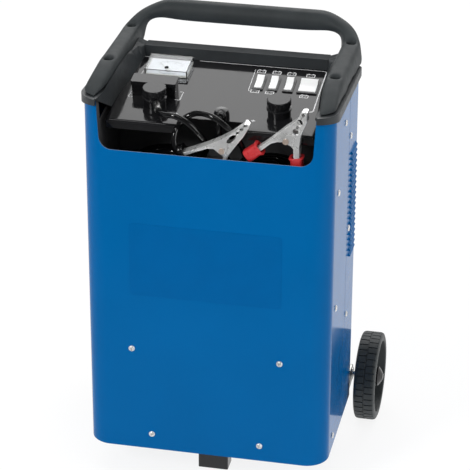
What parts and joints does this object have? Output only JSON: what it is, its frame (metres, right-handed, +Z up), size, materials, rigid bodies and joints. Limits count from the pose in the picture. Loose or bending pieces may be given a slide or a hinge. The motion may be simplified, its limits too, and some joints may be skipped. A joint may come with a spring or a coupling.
{
  "type": "wheeled car battery charger",
  "caption": "Tall blue steel cabinet with a sloping console, grip bar, side wheels, a front foot and battery leads whose clamps are stored in a slot behind the front.",
  "frame": {"origin": "on the floor under the middle of the object's footprint", "axes": "+Z up, the front with the foot and the slot faces -Y, +X to the right seen from the front"},
  "size_m": [0.4262, 0.3174, 0.6247],
  "materials": {
    "blue_steel": "gloss",
    "dark_plastic": "satin",
    "panel_grey": "gloss",
    "black_plastic": "satin",
    "white_plastic": "gloss",
    "red_plastic": "gloss",
    "clear_cover": "clear",
    "dial_face": "matt",
    "zinc_steel": "zinc plated",
    "brass": "bright",
    "tyre_plastic": "matt",
    "black_rubber": "satin",
    "red_rubber": "satin",
    "laminated_iron": "varnished",
    "winding": "varnished",
    "aluminium": "extruded"
  },
  "bodies": {
    "cabinet": {"base_plate": "blue_steel", "front_shell": "blue_steel", "rear_cover": "blue_steel", "foot": "dark_plastic", "handle": "dark_plastic", "console_frame": "dark_plastic", "rocker_bezels": "dark_plastic", "fuse_base": "dark_plastic", "fuse_cover": "dark_plastic", "meter_case": "dark_plastic", "control_panel": "panel_grey", "lead_tray": "black_plastic", "terminal_base_left": "black_plastic", "terminal_base_right": "black_plastic", "lead_gland": "black_plastic", "mains_gland": "black_plastic", "meter_cover": "clear_cover", "meter_dial": "dial_face", "front_screws": "zinc_steel", "side_screws": "zinc_steel", "handle_screws": "zinc_steel", "axle": "zinc_steel", "axle_brackets": "zinc_steel", "axle_washers": "zinc_steel", "terminal_studs": "zinc_steel", "clamp_rivets": "zinc_steel", "clamp_springs": "zinc_steel", "black_clamp_fixed_jaw": "zinc_steel", "red_clamp_fixed_jaw": "zinc_steel", "rectifier_diodes": "zinc_steel", "red_lead_lug": "brass", "fuse_strip": "brass", "black_lead": "black_rubber", "black_lead_end": "black_rubber", "black_lead_coil": "black_rubber", "red_lead": "black_rubber", "red_lead_end": "black_rubber", "red_lead_coil": "black_rubber", "black_clamp_fixed_sleeve": "black_rubber", "red_clamp_fixed_sleeve": "red_rubber", "transformer_core": "laminated_iron", "primary_winding": "winding", "secondary_winding": "winding", "heat_sink": "aluminium"},
    "wheel_left": {"wheel_left": "tyre_plastic", "hub_cap_left": "black_plastic"},
    "wheel_right": {"wheel_right": "tyre_plastic", "hub_cap_right": "black_plastic"},
    "knob_left": {"terminal_knob_left": "black_plastic"},
    "knob_right": {"terminal_knob_right": "black_plastic"},
    "rocker_1": {"rocker_1": "white_plastic"},
    "rocker_2": {"rocker_2": "white_plastic"},
    "rocker_3": {"rocker_3": "white_plastic"},
    "rocker_4": {"rocker_4": "white_plastic"},
    "needle": {"meter_needle": "red_plastic"},
    "black_clamp_half": {"black_clamp_moving_jaw": "zinc_steel", "black_clamp_moving_sleeve": "black_rubber"},
    "red_clamp_half": {"red_clamp_moving_jaw": "zinc_steel", "red_clamp_moving_sleeve": "red_rubber"}
  },
  "joints": [
    {"name": "left_wheel_turn", "type": "hinge", "parent": "cabinet", "child": "wheel_left", "pos_m": [-0.1935, 0.0944, 0.065], "axis": [1, 0, 0], "continuous": true},
    {"name": "right_wheel_turn", "type": "hinge", "parent": "cabinet", "child": "wheel_right", "pos_m": [0.1935, 0.0944, 0.065], "axis": [1, 0, 0], "continuous": true},
    {"name": "left_knob_turn", "type": "hinge", "parent": "cabinet", "child": "knob_left", "pos_m": [-0.085, -0.08289, 0.55658], "axis": [0, -0.1478, 0.989], "range_deg": [0, 720]},
    {"name": "right_knob_turn", "type": "hinge", "parent": "cabinet", "child": "knob_right", "pos_m": [0.085, -0.08289, 0.55658], "axis": [0, -0.1478, 0.989], "range_deg": [0, 720]},
    {"name": "rocker_1_tilt", "type": "hinge", "parent": "cabinet", "child": "rocker_1", "pos_m": [0.0435, -0.00836, 0.55922], "axis": [1, 0, 0], "range_deg": [-16, 0]},
    {"name": "rocker_2_tilt", "type": "hinge", "parent": "cabinet", "child": "rocker_2", "pos_m": [0.0632, -0.00836, 0.55922], "axis": [1, 0, 0], "range_deg": [-16, 0]},
    {"name": "rocker_3_tilt", "type": "hinge", "parent": "cabinet", "child": "rocker_3", "pos_m": [0.0846, -0.00836, 0.55922], "axis": [1, 0, 0], "range_deg": [-16, 0]},
    {"name": "rocker_4_tilt", "type": "hinge", "parent": "cabinet", "child": "rocker_4", "pos_m": [0.1109, -0.00836, 0.55922], "axis": [1, 0, 0], "range_deg": [-16, 0]},
    {"name": "needle_swing", "type": "hinge", "parent": "cabinet", "child": "needle", "pos_m": [-0.087, 0.00031, 0.56416], "axis": [0, -0.1478, 0.989], "range_deg": [-84, 0]},
    {"name": "black_clamp_open", "type": "hinge", "parent": "cabinet", "child": "black_clamp_half", "pos_m": [0.0214, -0.1418, 0.5175], "axis": [0, 1, 0], "range_deg": [0, 7], "stiffness_Nm_per_rad": 1.2, "springref_deg": -28.65},
    {"name": "red_clamp_open", "type": "hinge", "parent": "cabinet", "child": "red_clamp_half", "pos_m": [0.1067, -0.1418, 0.5394], "axis": [0, 1, 0], "range_deg": [-30, 0], "stiffness_Nm_per_rad": 1.2, "springref_deg": 28.65}
  ]
}
